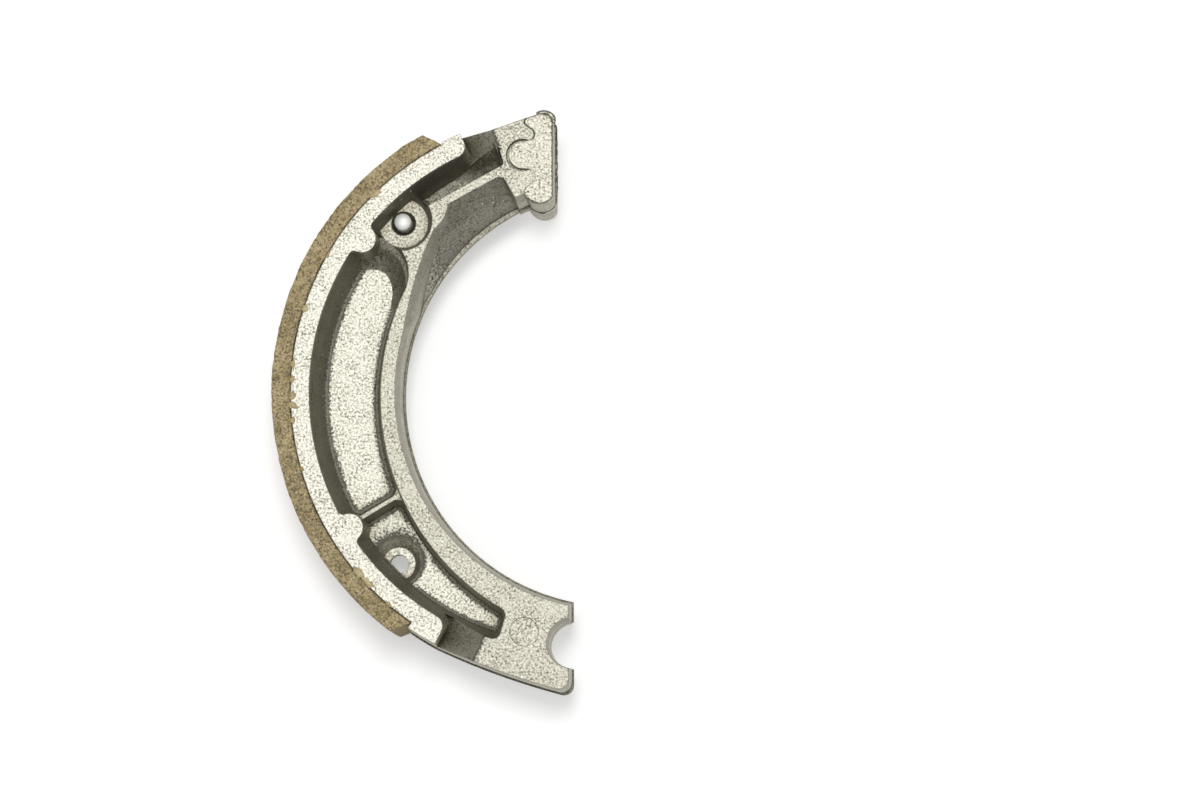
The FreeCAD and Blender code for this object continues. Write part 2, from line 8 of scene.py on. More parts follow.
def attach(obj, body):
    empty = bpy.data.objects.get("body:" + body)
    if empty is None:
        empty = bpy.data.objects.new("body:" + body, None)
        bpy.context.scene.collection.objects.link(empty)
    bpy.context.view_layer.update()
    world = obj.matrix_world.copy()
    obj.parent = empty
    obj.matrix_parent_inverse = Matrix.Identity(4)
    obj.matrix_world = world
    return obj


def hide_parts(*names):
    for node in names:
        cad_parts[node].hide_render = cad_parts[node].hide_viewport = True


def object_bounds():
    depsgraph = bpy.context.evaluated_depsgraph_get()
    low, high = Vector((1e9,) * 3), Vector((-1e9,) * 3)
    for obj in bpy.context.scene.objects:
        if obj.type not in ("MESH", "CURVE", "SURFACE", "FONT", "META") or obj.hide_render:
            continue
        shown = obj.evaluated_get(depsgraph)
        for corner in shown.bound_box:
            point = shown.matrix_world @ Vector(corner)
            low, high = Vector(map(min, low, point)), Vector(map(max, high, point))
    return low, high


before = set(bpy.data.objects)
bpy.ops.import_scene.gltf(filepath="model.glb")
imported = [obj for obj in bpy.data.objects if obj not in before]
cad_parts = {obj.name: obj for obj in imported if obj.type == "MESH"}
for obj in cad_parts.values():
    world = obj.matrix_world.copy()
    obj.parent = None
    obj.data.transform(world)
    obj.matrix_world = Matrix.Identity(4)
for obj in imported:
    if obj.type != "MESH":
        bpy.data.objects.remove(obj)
cadLow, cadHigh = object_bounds()
print("frame loaded")

# In millimetres: the drum's axis, the radius of the lining's seat, and the height of the rim's side face
drum = {"axis": np.array([0.0, 54.6, 0.0]), "seatRadius": 60.7, "rimSide": 14.0}


def linearColour(hexCode):
    # sRGB hex to linear, each channel through the sRGB curve backwards
    channels = [int(hexCode[i:i + 2], 16) / 255 for i in (1, 3, 5)]
    return tuple(c / 12.92 if c <= 0.04045 else ((c + 0.055) / 1.055) ** 2.4 for c in channels) + (1.0,)


def addNode(tree, kind, links=None, **settings):
    # One node with its settings. Each input gets a value, a socket, or the first output of another node.
    node = tree.nodes.new(kind)
    for name, value in settings.items():
        setattr(node, name, value)
    for socket, value in (links or {}).items():
        if isinstance(value, bpy.types.Node):
            value = value.outputs[0]
        if isinstance(value, bpy.types.NodeSocket):
            tree.links.new(value, node.inputs[socket])
        else:
            node.inputs[socket].default_value = value
    return node


def emptyTree(owner):
    owner.use_nodes = True
    owner.node_tree.nodes.clear()
    return owner.node_tree


def newMaterial(name):
    material = bpy.data.materials.new(name)
    tree = emptyTree(material)
    return material, tree, addNode(tree, "ShaderNodeTexCoord")


def colourStops(node, stops):
    # places and colours of a ramp, from left to right
    ramp = node.color_ramp
    ramp.elements.remove(ramp.elements[1])
    ramp.elements[0].position = stops[0][0]
    ramp.elements[0].color = linearColour(stops[0][1])
    for place, hexCode in stops[1:]:
        ramp.elements.new(place).color = linearColour(hexCode)


# Noise settings that the finishes share, and the bands in which most of the noise's values lie
fineNoise = {"Detail": 3.0, "Roughness": 0.6}
broadNoise = {"Detail": 2.0, "Roughness": 0.5}
fineBand = {"From Min": 0.3, "From Max": 0.7}
broadBand = {"From Min": 0.35, "From Max": 0.65}

mixShare, mixUnder, mixOver, mixed = 0, 6, 7, 2     # inputs and output of a Mix node that mixes colours
nodeRays = 6                                        # cast by each node that looks round a point

# Die-cast aluminium, tumbled with shot. Faces square to the tumbling are pale, with fine dark pits and
# scratches. Drafted walls and fillets are darker by their tilt, and slopes lighter, as painted light and
# shade, with a few pale painted glints; painted shade darkens corners and recesses, where the casting skin is
# darker too, and the floors along the walls. The rim's side faces stand proud of ribs and ends, and are
# rubbed brighter, and the parting land is darker as painted shade.
castingLook = {
    # painted light and shade: the skin's tone by tilt, as the light falls, on faces from upright, 0, to
    # level, 1
    "byTilt": [(0.0, "#d2cfc1"), (0.18, "#bbb8ab"), (0.24, "#a9a69a"), (0.45, "#a8a59a"), (0.7, "#b4b1a5"),
               (0.79, "#e8e5d9"), (0.84, "#e8e5d9"), (0.88, "#a09d92"), (0.95, "#98958b"),
               (0.985, "#d2d0c4"), (0.998, "#eeece1")],
    # what darkens it from the mid-plane, 0, to the rim's side face, 1; the lowest band is painted shade on
    # the parting land
    "byHeight": [(0.0, "#b9b8b2"), (0.047, "#b9b8b2"), (0.06, "#fafaf8"), (0.36, "#fafaf8"),
                 (0.45, "#e6e5e0"), (0.9, "#e2e1dc"), (0.96, "#fafaf8")],
    "tiltSpread": 0.08,             # how far the grain turns a sloping face's tone up or down
    "flatFrom": (0.985, 0.9995),    # tilts between which a face comes to count as flat
    "flatSpread": 0.1,              # share of tiltSpread that a flat face keeps
    "grainMm": 0.5,                 # cells of the shot's pitting
    "pit": "#aaa79d",
    "pitBand": (0.38, 0.52),
    "patchMm": 3.5,                 # patches where the shot bit more
    "patchLeast": 0.4,              # and the share of its marks elsewhere
    "pittedFrom": (0.2, 0.9),       # tilts between which the marks come to full strength
    "pittedLeast": 0.8,             # and their strength on upright faces
    "scratchMm": 0.75,              # bends of the fine worm-like lines
    "scratch": "#67645b",
    "scratchLevel": 0.5,            # value of the noise that the lines follow
    "scratchWidth": 0.024,          # how far from that value they show
    "paintedGlintMm": 2.2,                 # spacing of the painted glints, pale specks that stand for highlights
    "paintedGlint": "#f0f0ea",
    "paintedGlintSize": 0.09,              # share of the spacing
    "paintedGlintShare": 0.3,              # share of the places that have one
    "hollow": "#b4b1a5",            # painted shade in corners and recesses, where the casting skin is darker too
    "hollowMm": 2.2,
    "hollowBand": (0.15, 0.6),
    "shade": "#c4c1b5",             # painted shade on the floors along the walls
    "shadeMm": 5.0,
    "shadeBand": (0.4, 0.8),
    "roughness": (0.54, 0.66),
    "reliefMm": 0.05,
    "edgeMm": 0.3,                  # edges worn round by tumbling
}

# The insert is tumbled the same way, with broader patches, longer lines and darker marks, and the same
# painted shade on its parting land.
insertLook = dict(castingLook, patchMm=5.0, scratchMm=1.3, pit="#97948a", scratch="#57544c",
                  byHeight=[(0.0, "#b9b8b2"), (0.047, "#b9b8b2"), (0.06, "#ebeae5")])

# Painted light and shade in the pockets' ends: the skin is darker where it lies level or stands upright, and
# brighter on the slopes.
pocketShadeLook = dict(castingLook, byTilt=[(0.0, "#a8a599"), (0.7, "#b9b6aa"), (0.82, "#dedbce"),
                                       (0.95, "#a3a094"), (1.0, "#8f8c81")])


def tumbledAluminium(name, look):
    # The tilt of a face, unsettled by the grain, picks the skin's tone, which is painted light and shade.
    # Height, pits, lines and painted shade in recesses and on floors darken it, and painted glints brighten
    # it.
    material, tree, place = newMaterial(name)
    spot = place.outputs["Object"]
    grain = addNode(tree, "ShaderNodeTexNoise",
                    {"Vector": spot, "Scale": 1000 / look["grainMm"], **fineNoise})
    patch = addNode(tree, "ShaderNodeTexNoise",
                    {"Vector": spot, "Scale": 1000 / look["patchMm"], **broadNoise})
    bends = addNode(tree, "ShaderNodeTexNoise",
                    {"Vector": spot, "Scale": 1000 / look["scratchMm"], **fineNoise})

    upward = addNode(tree, "ShaderNodeSeparateXYZ", {"Vector": place.outputs["Normal"]})
    level = addNode(tree, "ShaderNodeMath", {0: upward.outputs["Z"]}, operation="ABSOLUTE")
    uneven = addNode(tree, "ShaderNodeMapRange",
                     {"Value": grain, **fineBand,
                      "To Min": -look["tiltSpread"], "To Max": look["tiltSpread"]})
    sloping = addNode(tree, "ShaderNodeMapRange",
                      {"Value": level, "From Min": look["flatFrom"][0], "From Max": look["flatFrom"][1],
                       "To Min": 1.0, "To Max": look["flatSpread"]})
    unsettled = addNode(tree, "ShaderNodeMath", {0: uneven, 1: sloping}, operation="MULTIPLY")
    tone = addNode(tree, "ShaderNodeMath", {0: level, 1: unsettled}, operation="ADD")
    tiltShade = addNode(tree, "ShaderNodeValToRGB", {"Fac": tone})
    colourStops(tiltShade, look["byTilt"])

    upDown = addNode(tree, "ShaderNodeSeparateXYZ", {"Vector": spot})
    height = addNode(tree, "ShaderNodeMath", {0: upDown.outputs["Z"]}, operation="ABSOLUTE")
    toRimSide = addNode(tree, "ShaderNodeMath", {0: height, 1: drum["rimSide"] / 1000}, operation="DIVIDE")
    # tone by height: rubbed rim side faces, and painted shade on the parting land
    rubbedAndLandShade = addNode(tree, "ShaderNodeValToRGB", {"Fac": toRimSide})
    colourStops(rubbedAndLandShade, look["byHeight"])

    patchy = addNode(tree, "ShaderNodeMapRange",
                     {"Value": patch, **broadBand, "To Min": look["patchLeast"], "To Max": 1.0})
    reached = addNode(tree, "ShaderNodeMapRange",
                      {"Value": level, "From Min": look["pittedFrom"][0], "From Max": look["pittedFrom"][1],
                       "To Min": look["pittedLeast"], "To Max": 1.0})
    struck = addNode(tree, "ShaderNodeMath", {0: patchy, 1: reached}, operation="MULTIPLY")
    pits = addNode(tree, "ShaderNodeMapRange",
                   {"Value": grain, "From Min": look["pitBand"][0], "From Max": look["pitBand"][1],
                    "To Min": 1.0, "To Max": 0.0})
    pitted = addNode(tree, "ShaderNodeMath", {0: pits, 1: struck}, operation="MULTIPLY")
    offLine = addNode(tree, "ShaderNodeMath", {0: bends, 1: look["scratchLevel"]}, operation="SUBTRACT")
    besideLine = addNode(tree, "ShaderNodeMath", {0: offLine}, operation="ABSOLUTE")
    lines = addNode(tree, "ShaderNodeMapRange",
                    {"Value": besideLine, "From Min": 0.0, "From Max": look["scratchWidth"],
                     "To Min": 1.0, "To Max": 0.0})
    scratched = addNode(tree, "ShaderNodeMath", {0: lines, 1: struck}, operation="MULTIPLY")

    # painted glints: pale specks that stand for highlights
    paintedGlints = addNode(tree, "ShaderNodeTexVoronoi", {"Vector": spot, "Scale": 1000 / look["paintedGlintMm"]})
    small = addNode(tree, "ShaderNodeMath", {0: paintedGlints.outputs["Distance"], 1: look["paintedGlintSize"]},
                    operation="LESS_THAN")
    chosen = addNode(tree, "ShaderNodeSeparateColor", {"Color": paintedGlints.outputs["Color"]})
    few = addNode(tree, "ShaderNodeMath", {0: chosen, 1: look["paintedGlintShare"]}, operation="LESS_THAN")
    paintedGlintMask = addNode(tree, "ShaderNodeMath", {0: small, 1: few}, operation="MULTIPLY")

    # painted shade in corners and recesses, found by occlusion
    openness = addNode(tree, "ShaderNodeAmbientOcclusion", {"Distance": look["hollowMm"] / 1000},
                       samples=nodeRays, only_local=True)
    hollows = addNode(tree, "ShaderNodeMapRange",
                      {"Value": openness.outputs["AO"], "From Min": look["hollowBand"][0],
                       "From Max": look["hollowBand"][1], "To Min": 1.0, "To Max": 0.0})
    # painted shade on the floors along the walls, found by wider occlusion
    around = addNode(tree, "ShaderNodeAmbientOcclusion", {"Distance": look["shadeMm"] / 1000},
                     samples=nodeRays, only_local=True)
    unevenShade = addNode(tree, "ShaderNodeMath", {0: around.outputs["AO"], 1: unsettled}, operation="ADD")
    shades = addNode(tree, "ShaderNodeMapRange",
                     {"Value": unevenShade, "From Min": look["shadeBand"][0],
                      "From Max": look["shadeBand"][1], "To Min": 1.0, "To Max": 0.0})
    paintedFloorShade = addNode(tree, "ShaderNodeMath", {0: shades, 1: level}, operation="MULTIPLY")

    # each layer has its share, its colour and how it goes over what is below
    layers = [(1.0, rubbedAndLandShade, "MULTIPLY"),
              (pitted, linearColour(look["pit"]), "MULTIPLY"),
              (scratched, linearColour(look["scratch"]), "MULTIPLY"),
              (paintedGlintMask, linearColour(look["paintedGlint"]), "MIX"),
              (hollows, linearColour(look["hollow"]), "MULTIPLY"),
              (paintedFloorShade, linearColour(look["shade"]), "MULTIPLY")]
    colour = tiltShade.outputs["Color"]
    for share, over, blend in layers:
        layer = addNode(tree, "ShaderNodeMix", {mixShare: share, mixUnder: colour, mixOver: over},
                        data_type="RGBA", blend_type=blend)
        colour = layer.outputs[mixed]

    gloss = addNode(tree, "ShaderNodeMapRange",
                    {"Value": grain, **fineBand,
                     "To Min": look["roughness"][1], "To Max": look["roughness"][0]})
    edge = addNode(tree, "ShaderNodeBevel", {"Radius": look["edgeMm"] / 1000}, samples=nodeRays)
    relief = addNode(tree, "ShaderNodeBump",
                     {"Height": grain, "Distance": look["reliefMm"] / 1000, "Normal": edge})
    shader = addNode(tree, "ShaderNodeBsdfPrincipled",
                     {"Base Color": colour, "Metallic": 1.0, "Roughness": gloss, "Normal": relief})
    addNode(tree, "ShaderNodeOutputMaterial", {"Surface": shader})
    return material


# Moulded friction compound, ground to size: tan resin clouded brown, with dark and pale grains.
compoundLook = {
    "resin": ("#a89669", "#cab587"),
    "patchMm": 4.0,
    "pale": "#dccea8",
    "grainMm": 0.4,
    "grainRoughness": 0.65,
    "paleBand": (0.5, 0.64),
    "paleShare": 0.75,
    "dark": "#544939",
    "darkMm": 0.45,
    "darkBand": (0.36, 0.56),
    "darkShare": 0.85,
    "glueLine": "#4a4132",
    "glueMm": (0.1, 0.5),       # distances from the seat between which the glue's dark line fades
    "glueShare": 0.9,
    "roughness": 0.85,
    "reliefMm": 0.08,
}


def frictionCompound(name, look):
    # Pale grains, dark clumps and the glue's line go over the clouded resin. The line is found by the
    # distance from the drum's axis.
    material, tree, place = newMaterial(name)
    spot = place.outputs["Object"]
    grain = addNode(tree, "ShaderNodeTexNoise",
                    {"Vector": spot, "Scale": 1000 / look["grainMm"], **fineNoise,
                     "Roughness": look["grainRoughness"]})
    clumps = addNode(tree, "ShaderNodeTexNoise",
                     {"Vector": spot, "Scale": 1000 / look["darkMm"], **fineNoise})
    patch = addNode(tree, "ShaderNodeTexNoise",
                    {"Vector": spot, "Scale": 1000 / look["patchMm"], **broadNoise})
    cloud = addNode(tree, "ShaderNodeMapRange", {"Value": patch, **broadBand})
    paleGrain = addNode(tree, "ShaderNodeMapRange",
                        {"Value": grain, "From Min": look["paleBand"][0], "From Max": look["paleBand"][1],
                         "To Min": 0.0, "To Max": look["paleShare"]})
    darkGrain = addNode(tree, "ShaderNodeMapRange",
                        {"Value": clumps, "From Min": look["darkBand"][0], "From Max": look["darkBand"][1],
                         "To Min": look["darkShare"], "To Max": 0.0})
    aboutAxis = addNode(tree, "ShaderNodeMapping",
                        {"Vector": spot, "Location": Vector(-drum["axis"] / 1000), "Scale": (1, 1, 0)})
    radius = addNode(tree, "ShaderNodeVectorMath", {0: aboutAxis}, operation="LENGTH")
    line = [(drum["seatRadius"] + gap) / 1000 for gap in look["glueMm"]]
    glue = addNode(tree, "ShaderNodeMapRange",
                   {"Value": radius.outputs["Value"], "From Min": line[0], "From Max": line[1],
                    "To Min": look["glueShare"], "To Max": 0.0})
    colour = linearColour(look["resin"][0])
    for share, over in ((cloud, look["resin"][1]), (paleGrain, look["pale"]),
                        (darkGrain, look["dark"]), (glue, look["glueLine"])):
        layer = addNode(tree, "ShaderNodeMix",
                        {mixShare: share, mixUnder: colour, mixOver: linearColour(over)}, data_type="RGBA")
        colour = layer.outputs[mixed]
    relief = addNode(tree, "ShaderNodeBump", {"Height": grain, "Distance": look["reliefMm"] / 1000})
    shader = addNode(tree, "ShaderNodeBsdfPrincipled",
                     {"Base Color": colour, "Roughness": look["roughness"], "Normal": relief})
    addNode(tree, "ShaderNodeOutputMaterial", {"Surface": shader})
    return material


# Bright drawn steel, its domed end burnished.
pinLook = {"steel": "#fafaf7", "grainMm": 0.5, "roughness": (0.62, 0.7), "reliefMm": 0.01, "edgeMm": 0.35}


def drawnSteel(name, look):
    # one bright tone, with a fine grain in its gloss and relief
    material, tree, place = newMaterial(name)
    grain = addNode(tree, "ShaderNodeTexNoise",
                    {"Vector": place.outputs["Object"], "Scale": 1000 / look["grainMm"], **broadNoise})
    gloss = addNode(tree, "ShaderNodeMapRange",
                    {"Value": grain, **fineBand,
                     "To Min": look["roughness"][0], "To Max": look["roughness"][1]})
    edge = addNode(tree, "ShaderNodeBevel", {"Radius": look["edgeMm"] / 1000}, samples=nodeRays)
    relief = addNode(tree, "ShaderNodeBump",
                     {"Height": grain, "Distance": look["reliefMm"] / 1000, "Normal": edge})
    shader = addNode(tree, "ShaderNodeBsdfPrincipled",
                     {"Base Color": linearColour(look["steel"]), "Metallic": 1.0, "Roughness": gloss,
                      "Normal": relief})
    addNode(tree, "ShaderNodeOutputMaterial", {"Surface": shader})
    return material


# Adhesive squeezed out of the joint and baked hard, a clouded amber.
adhesiveLook = {"colours": ("#a38a5c", "#cbbb8c"), "cloudMm": 1.2, "roughness": 0.45}


def bakedAdhesive(name, look):
    # clouded between its two colours
    material, tree, place = newMaterial(name)
    cloud = addNode(tree, "ShaderNodeTexNoise",
                    {"Vector": place.outputs["Object"], "Scale": 1000 / look["cloudMm"], **fineNoise})
    clouded = addNode(tree, "ShaderNodeMapRange", {"Value": cloud, **broadBand})
    deep, pale = [linearColour(hexCode) for hexCode in look["colours"]]
    colour = addNode(tree, "ShaderNodeMix", {mixShare: clouded, mixUnder: deep, mixOver: pale},
                     data_type="RGBA")
    shader = addNode(tree, "ShaderNodeBsdfPrincipled",
                     {"Base Color": colour.outputs[mixed], "Roughness": look["roughness"]})
    addNode(tree, "ShaderNodeOutputMaterial", {"Surface": shader})
    return material


castingSkin = tumbledAluminium("aluminiumDieCastTumbled", castingLook)
insertSkin = tumbledAluminium("aluminiumInsertTumbled", insertLook)
pocketShadedSkin = tumbledAluminium("aluminiumPocketShadedSkin", pocketShadeLook)
compound = frictionCompound("frictionCompoundGround", compoundLook)
steel = drawnSteel("steelDrawnBurnished", pinLook)
adhesive = bakedAdhesive("adhesiveBaked", adhesiveLook)
nodeMaterials = {"shoe_casting": castingSkin, "cam_end_insert": insertSkin,
                 "friction_lining": compound, "spring_pin": steel}
for node, material in nodeMaterials.items():
    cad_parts[node].data.materials.clear()
    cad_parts[node].data.materials.append(material)
print("materials made")


def eased(share):
    # 3t^2 - 2t^3 between 0 and 1
    inside = np.clip(share, 0, 1)
    return inside * inside * (3 - 2 * inside)


# Large odd numbers that scramble the corners of the noise's lattice: one an axis, one for the seed, and the
# shift and factor of each further round. The result is a whole number below 2^32.
scramble = {"axes": np.array([73856093, 19349663, 83492791]), "seed": 2654435761,
            "rounds": ((15, 2246822519), (13, 3266489917)), "bits": 2 ** 32 - 1, "half": 2 ** 31}


def noiseAt(points, cell, seed):
    # A smooth field from -1 to 1. Each corner of a lattice of cubes gets a value hashed from its whole
    # coordinates, and within a cube the eight are blended with eased weights along each axis.
    scaled = points / cell
    corner = np.floor(scaled).astype(np.int64)
    blend = eased(scaled - corner)
    total = np.zeros(points.shape[:-1])
    for step in np.ndindex(2, 2, 2):
        key = (corner + step) * scramble["axes"]
        key = (key[..., 0] ^ key[..., 1] ^ key[..., 2] ^ (seed * scramble["seed"])) & scramble["bits"]
        for shift, factor in scramble["rounds"]:
            key = ((key ^ (key >> shift)) * factor) & scramble["bits"]
        weight = np.where(step, blend, 1 - blend).prod(axis=-1)
        total += weight * (key / scramble["half"] - 1)
    return total


def layeredNoise(points, cell, seed, layers=2):
    # each layer has half the cell and half the height of the one before
    return sum(noiseAt(points, cell / 2 ** i, seed + i) / 2 ** i for i in range(layers))


def newObject(name, data):
    thing = bpy.data.objects.new(name, data)
    bpy.context.collection.objects.link(thing)
    return thing


weldDistance = 1e-6     # metres


def newPiece(name, points, faces, material):
    # points in millimetres, and each face a row of point numbers, anticlockwise seen from outside
    mesh = bpy.data.meshes.new(name)
    mesh.from_pydata((points / 1000).tolist(), [], faces.tolist())
    welded = bmesh.new()
    welded.from_mesh(mesh)
    bmesh.ops.remove_doubles(welded, verts=welded.verts, dist=weldDistance)
    welded.to_mesh(mesh)
    welded.free()
    mesh.polygons.foreach_set("use_smooth", np.ones(len(mesh.polygons), dtype=bool))
    mesh.materials.append(material)
    piece = newObject(name, mesh)
    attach(piece, "root")
    return piece


def onDrum(radius, angle, height):
    # point at a radius and an angle in degrees about the drum's axis
    turn = np.radians(angle)
    point = np.broadcast_arrays(radius * np.cos(turn), radius * np.sin(turn), height)
    return np.stack(point, axis=-1) + drum["axis"]


def boxShell(steps):
    # The surface points of a block of lattice cells, each once, with faces anticlockwise seen from outside.
    faces = []
    for axis in range(3):
        first, second = (axis + 1) % 3, (axis + 2) % 3
        u, v = np.meshgrid(np.arange(steps[first]), np.arange(steps[second]), indexing="ij")
        for side in (0, steps[axis]):
            corners = []
            for du, dv in ((0, 0), (1, 0), (1, 1), (0, 1)):
                point = np.empty(u.shape + (3,), dtype=np.int64)
                point[..., axis] = side
                point[..., first] = u + du
                point[..., second] = v + dv
                corners.append(point.reshape(-1, 3))
            faces.append(np.stack(corners if side else corners[::-1], axis=1))
    faces = np.concatenate(faces)
    places, numbers = np.unique(faces.reshape(-1, 3), axis=0, return_inverse=True)
    return places, numbers.reshape(-1, 4)


def ringFaces(rings, spokes):
    # Faces between each ring of points and the next. Their corners go round: this spoke and the next on the
    # near ring, then the next and this on the far ring.
    ring, spoke = np.meshgrid(np.arange(rings - 1), np.arange(spokes), indexing="ij")
    near, far, after = ring * spokes, (ring + 1) * spokes, (spoke + 1) % spokes
    return np.stack([near + spoke, near + after, far + after, far + spoke], axis=-1).reshape(-1, 4)


# Friction lining, in millimetres and degrees
lining = {
    "angles": (117.2, 235.5), "thickness": 4.3, "width": 27.6, "endBevel": 2.8, "edgeRadius": 0.3,
    "steps": (20, 470, 60),                     # across its thickness, along its arc, across its width
    "grain": (0.7, 11), "grainHeight": 0.05,    # cell and seed of the ground face's roughness
    "lumps": (3.5, 21), "lumpDepth": 0.12,      # and of its slow unevenness
    "chips": (1.6, 31), "chipDepth": 0.45,      # and of the chips along its edges
    "chipReach": 0.75, "chipFrom": 0.1,         # how far in from an edge, and the noise above which it chips
}


def liningSurface(look):
    # A block with rounded edges: each shell point lies on the rounding round an inner block, moved in or out
    # by two sizes of noise, and near an edge moved in by chips. The block is bent round the drum's axis, and
    # its ends lean back by the bevel, in proportion to the distance from the seat.
    places, faces = boxShell(look["steps"])
    arcLength = math.radians(look["angles"][1] - look["angles"][0]) * drum["seatRadius"]
    size = np.array([look["thickness"], arcLength, look["width"]])
    flat = places / np.array(look["steps"]) * size
    inner = np.clip(flat, look["edgeRadius"], size - look["edgeRadius"])
    outward = (flat - inner) / np.linalg.norm(flat - inner, axis=1, keepdims=True)
    toEdge = np.sort(np.minimum(flat, size - flat), axis=1)[:, 1]
    chipped = np.clip(layeredNoise(flat, *look["chips"]) - look["chipFrom"], 0, 1)
    move = look["grainHeight"] * layeredNoise(flat, *look["grain"])
    move = move - look["lumpDepth"] * np.abs(layeredNoise(flat, *look["lumps"]))
    move = move - look["chipDepth"] * chipped * np.exp(-(toEdge / look["chipReach"]) ** 2)
    block = inner + outward * (look["edgeRadius"] + move)[:, None]
    fromSeat, along, across = block.T
    outerRadius = drum["seatRadius"] + look["thickness"]
    lean = np.degrees(look["endBevel"] / outerRadius) * fromSeat / look["thickness"]
    start, end = look["angles"][0] + lean, look["angles"][1] - lean
    angle = start + (end - start) * along / arcLength
    return onDrum(drum["seatRadius"] + fromSeat, angle, across - look["width"] / 2), faces


liningPiece = newPiece("frictionLining", *liningSurface(lining), compound)
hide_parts("friction_lining")
print("lining made")


# Spots of adhesive on the rim's side face beside the lining, in millimetres and degrees
adhesiveSpots = {
    # angle, half length and reach of each
    "spots": [(134.4, 1.9, 0.7), (150.6, 0.8, 0.3), (162.4, 1.0, 0.6), (174.3, 1.3, 0.5), (177.4, 0.8, 0.7),
              (180.8, 0.9, 0.8), (182.8, 0.8, 1.0), (185.8, 0.7, 0.6), (196.0, 0.7, 0.4), (220.6, 1.5, 0.8),
              (223.4, 1.7, 0.9), (229.5, 0.9, 0.4)],
    "inward": 0.35,                     # share of the reach by which a spot's middle lies in from the seat
    "height": 0.12, "sink": 0.05,       # above the rim's face at the middle, and the underside's depth in it
    "underPower": 0.25,                 # how squarely the underside meets the edge
    "waver": 0.45, "waverRadius": 2.0,  # of the outline, which reads noise along a circle of this radius
    "waverStep": 9.7,                   # between the circles of two spots
    "noise": (1.0, 41),                 # its cell and seed
    "rings": 12, "spokes": 28,
}


def adhesiveSurface(look):
    # Each spot is a flat-bottomed drop: rings of points go out from its middle over the top, whose height is
    # h (1 - s^2), and back in below the rim's face. Its outline wavers by noise.
    out = np.linspace(0, 1, look["rings"] + 1)
    back = out[-2::-1]
    share = np.append(out, back)[:, None]
    under = -look["sink"] * (1 - back) ** look["underPower"]
    rise = np.append(look["height"] * (1 - out ** 2), under)[:, None]
    turn = np.linspace(0, 2 * np.pi, look["spokes"], endpoint=False)[None, :]
    spotFaces = ringFaces(len(share), look["spokes"])[:, [0, 3, 2, 1]]      # turned over
    points, faces = [], []
    for number, (angle, halfLength, reach) in enumerate(look["spots"]):
        circle = np.stack([np.cos(turn) * look["waverRadius"], np.sin(turn) * look["waverRadius"],
                           0 * turn + look["waverStep"] * number], axis=-1)
        outline = 1 + look["waver"] * layeredNoise(circle, *look["noise"])
        along = share * outline * np.cos(turn) * halfLength
        inward = share * outline * np.sin(turn) * reach + look["inward"] * reach
        place = angle + np.degrees(along / drum["seatRadius"])
        points.append(onDrum(drum["seatRadius"] - inward, place, drum["rimSide"] + rise).reshape(-1, 3))
        faces.append(spotFaces + number * len(points[0]))
    return np.concatenate(points), np.concatenate(faces)


adhesivePiece = newPiece("rimAdhesive", *adhesiveSurface(adhesiveSpots), adhesive)
print("adhesive made")


# Flash round the insert where its mould halves met, and the burr on its outer corner, in millimetres. A lip
# has the corners of its path, the reach of its section outwards and up, and its height above the mid-plane.
insertLips = {
    "insertFlash": {
        "corners": [(-9.3, 115.0), (-6.2, 115.9), (-4.5, 115.8), (-3.7, 114.8), (-3.65, 105.0),
                    (-3.65, 98.1), (-4.3, 96.8), (-6.6, 95.5), (-8.3, 96.1), (-9.6, 97.2)],
        "reach": (0.4, 0.18), "level": 0.0, "seed": 61,
    },
    "insertBurr": {
        "corners": [(-7.6, 115.6), (-6.0, 116.0), (-4.7, 115.8), (-3.7, 114.9), (-3.45, 113.4)],
        "reach": (0.5, 0.32), "level": 11.2, "seed": 71,
    },
}
lipSection = {
    "spokes": 12, "stepMm": 0.2,            # points of a ring, and the distance between rings
    "smoothing": 9,                         # rings over which the path's corners are smoothed, an odd number
    "unevenness": 0.35, "grainMm": 1.1,     # share by which its reach varies, and the cell of that noise
    "aroundMm": 3.0,                        # radius at which a ring reads the noise
    "closingPower": 0.25,                   # of the sine that closes both ends
}


def lipSurface(look, section):
    # A ring of points is carried along a smooth path through the corners. The ring is an ellipse whose reach
    # swells and shrinks by noise and closes to a point at both ends as the fourth root of a sine.
    corners = np.array(look["corners"])
    chords = np.append(0, np.cumsum(np.linalg.norm(np.diff(corners, axis=0), axis=1)))
    along = np.linspace(0, chords[-1], int(chords[-1] / section["stepMm"]))
    window = np.hanning(section["smoothing"])
    margin = section["smoothing"] // 2
    path = []
    for axis in (0, 1):
        straight = np.interp(along, chords, corners[:, axis])
        path.append(np.convolve(np.pad(straight, margin, mode="edge"), window / window.sum(), mode="valid"))
    path = np.stack(path, axis=-1)
    heading = np.gradient(path, axis=0)
    heading /= np.linalg.norm(heading, axis=1, keepdims=True)
    outward = np.stack([-heading[:, 1], heading[:, 0]], axis=-1)
    turn = np.linspace(0, 2 * np.pi, section["spokes"], endpoint=False)
    closing = np.sin(np.pi * along / along[-1]).clip(0) ** section["closingPower"]
    spots = np.stack(np.broadcast_arrays(along[:, None], section["aroundMm"] * np.cos(turn),
                                         section["aroundMm"] * np.sin(turn)), axis=-1)
    uneven = section["unevenness"] * layeredNoise(spots, section["grainMm"], look["seed"])
    swell = closing[:, None] * (1 + uneven)
    side = look["reach"][0] * np.cos(turn) * swell
    rise = look["reach"][1] * np.sin(turn) * swell
    points = np.concatenate([path[:, None, :] + outward[:, None, :] * side[..., None],
                             look["level"] + rise[..., None]], axis=-1)
    return points.reshape(-1, 3), ringFaces(len(along), len(turn))


for name, look in insertLips.items():
    lip = newPiece(name, *lipSurface(look, lipSection), insertSkin)
print("insert lips made")


